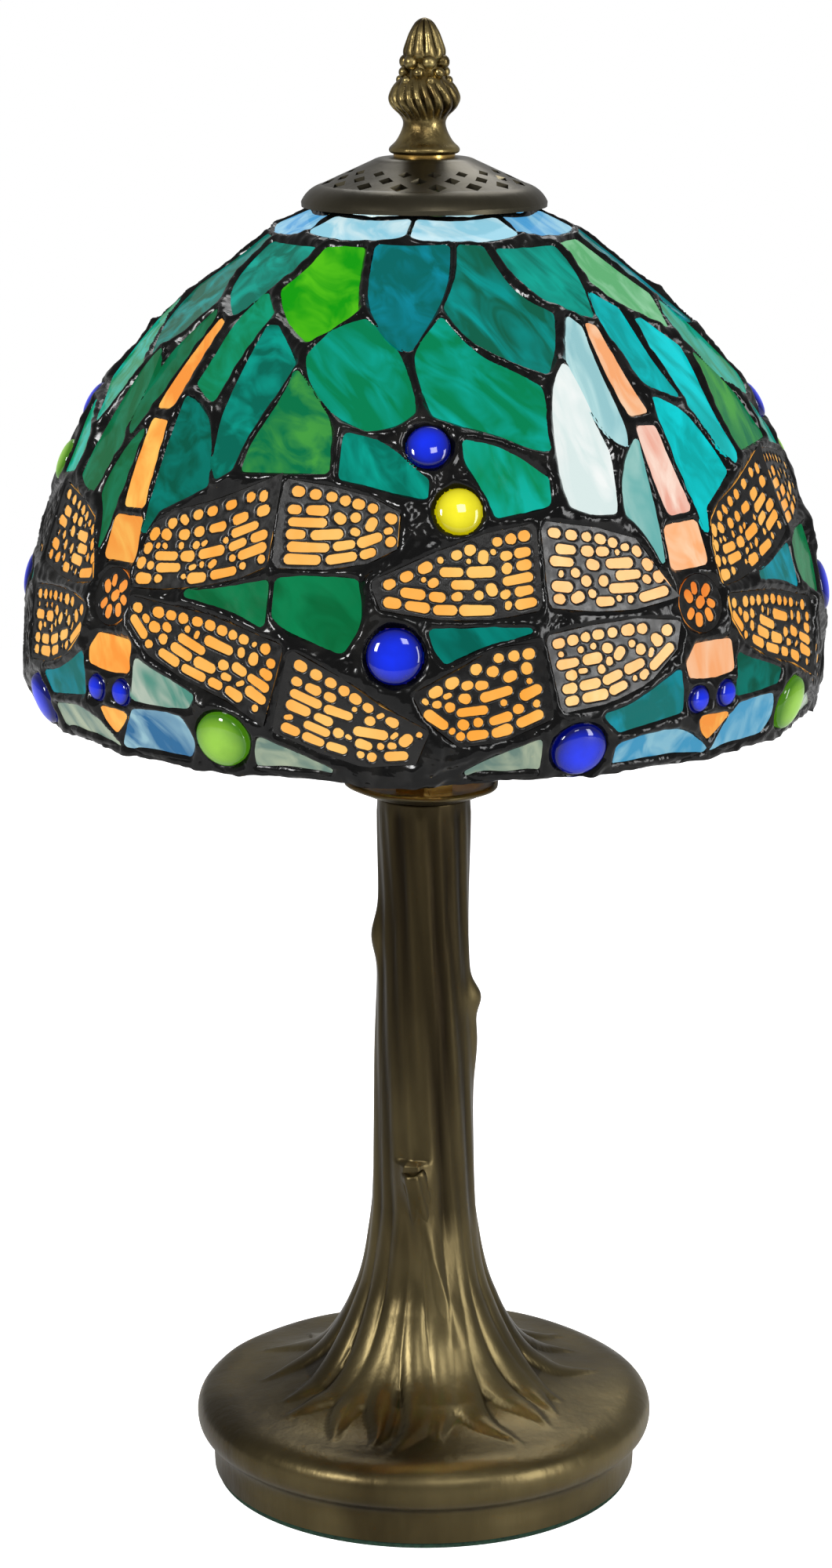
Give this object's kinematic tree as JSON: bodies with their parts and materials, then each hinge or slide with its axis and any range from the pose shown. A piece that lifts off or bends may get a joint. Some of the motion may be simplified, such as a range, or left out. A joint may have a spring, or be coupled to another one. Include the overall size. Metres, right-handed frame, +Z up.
{
  "type": "table lamp",
  "caption": "Table lamp with a domed leaded glass shade on a cast tree-trunk base, with lampholder, bulb, harp, vented cap and screw-on finial.",
  "frame": {"origin": "centre of the base on the table plane, under the felt", "axes": "+Z up the lamp's axis, the front towards -Y, +X to the viewer's right"},
  "size_m": [0.1978, 0.1978, 0.3677],
  "materials": {
    "antique_brass": "satin, antiqued",
    "antique_bronze_casting": "satin, antiqued",
    "black_bakelite": "moulded",
    "black_rubber": "matt",
    "bright_brass": "satin",
    "bulb_black_glass": "gloss",
    "bulb_glass": "clear",
    "ceramic_core": "glazed",
    "dark_bronze_plate": "brushed, dark patina",
    "felt": "matt felt",
    "filament_yellow": "glowing",
    "filigree": "black patina",
    "glass_amber": "amber",
    "glass_cobalt": "domed, clear",
    "glass_deep_green": "cathedral",
    "glass_green_jewel": "domed, clear",
    "glass_lime": "opalescent, streaked",
    "glass_pale_blue": "opalescent",
    "glass_pale_grey": "opalescent",
    "glass_peach": "opalescent",
    "glass_streaky_blue": "streaked",
    "glass_teal": "opalescent, streaked",
    "glass_teal_green": "opalescent, streaked",
    "glass_yellow_jewel": "domed, clear",
    "nickel_cap": "satin",
    "solder": "black patina, glossy",
    "steel": "zinc plated"
  },
  "bodies": {
    "lamp_base": {"base_weight": "steel", "bottom_lock_nut": "steel", "bottom_plate": "steel", "bottom_washer": "steel", "collar_dish": "antique_bronze_casting", "collar_nut": "bright_brass", "cord_grommet": "black_rubber", "felt_pad": "felt", "harp_ferrules": "antique_brass", "harp_hub": "antique_brass", "harp_saddle": "antique_brass", "harp_stud": "bright_brass", "harp_wire": "antique_brass", "socket_cap": "black_bakelite", "socket_case": "black_bakelite", "socket_contact": "bright_brass", "socket_core": "ceramic_core", "socket_lock_nut": "steel", "socket_terminal_screws": "bright_brass", "socket_thread_shell": "bright_brass", "threaded_tube": "steel", "tree_trunk_base": "antique_bronze_casting"},
    "bulb_contact": {"bulb_tip": "nickel_cap"},
    "bulb": {"bulb_filaments": "filament_yellow", "bulb_globe": "bulb_glass", "bulb_insulator": "bulb_black_glass", "bulb_screw_cap": "nickel_cap", "bulb_stem": "bulb_glass"},
    "shade_seat": {"seat_washer": "bright_brass"},
    "shade": {"cabochons_cobalt": "glass_cobalt", "cabochons_green": "glass_green_jewel", "cabochons_lime": "glass_green_jewel", "cabochons_yellow": "glass_yellow_jewel", "dragonfly_eyes": "glass_cobalt", "dragonfly_nose_glass": "glass_peach", "dragonfly_shoulder_glass": "glass_peach", "dragonfly_tail_glass": "glass_peach", "dragonfly_thorax_glass": "glass_amber", "glass_flank_panels": "glass_pale_grey", "glass_lime_leaves": "glass_lime", "glass_lower_leaves": "glass_teal", "glass_middle_leaves": "glass_teal_green", "glass_skirt_blue": "glass_streaky_blue", "glass_skirt_teal": "glass_teal", "glass_top_band": "glass_pale_blue", "glass_upper_leaves": "glass_teal", "glass_wing_gaps": "glass_deep_green", "wing_filigree_lower": "filigree", "wing_filigree_upper": "filigree", "wing_glass_lower": "glass_amber", "wing_glass_upper": "glass_amber", "solder_matrix": "solder", "rim_wire": "solder", "vented_cap": "dark_bronze_plate"},
    "finial_seat": {"finial_washer": "bright_brass"},
    "finial": {"finial": "antique_brass", "finial_insert": "steel"}
  },
  "joints": [
    {"name": "bulb_rise", "type": "slide", "parent": "lamp_base", "child": "bulb_contact", "axis": [0, 0, 1], "range_m": [0, 0.0114]},
    {"name": "bulb_turn", "type": "hinge", "parent": "bulb_contact", "child": "bulb", "pos_m": [0, 0, 0.21], "axis": [0, 0, 1], "range_deg": [0, 1440]},
    {"name": "shade_lift", "type": "slide", "parent": "lamp_base", "child": "shade_seat", "axis": [0, 0, 1], "range_m": [0, 0.15]},
    {"name": "shade_turn", "type": "hinge", "parent": "shade_seat", "child": "shade", "pos_m": [0, 0, 0.333], "axis": [0, 0, 1], "continuous": true},
    {"name": "finial_rise", "type": "slide", "parent": "shade_seat", "child": "finial_seat", "axis": [0, 0, 1], "range_m": [0, 0.008]},
    {"name": "finial_turn", "type": "hinge", "parent": "finial_seat", "child": "finial", "pos_m": [0, 0, 0.34], "axis": [0, 0, 1], "range_deg": [0, 2882]}
  ],
  "couplings": [
    {"joint": "bulb_rise", "follows": "bulb_turn", "m_per_rad": 0.00044882},
    {"joint": "finial_turn", "follows": "finial_rise", "rad_per_m": 6283.2}
  ]
}
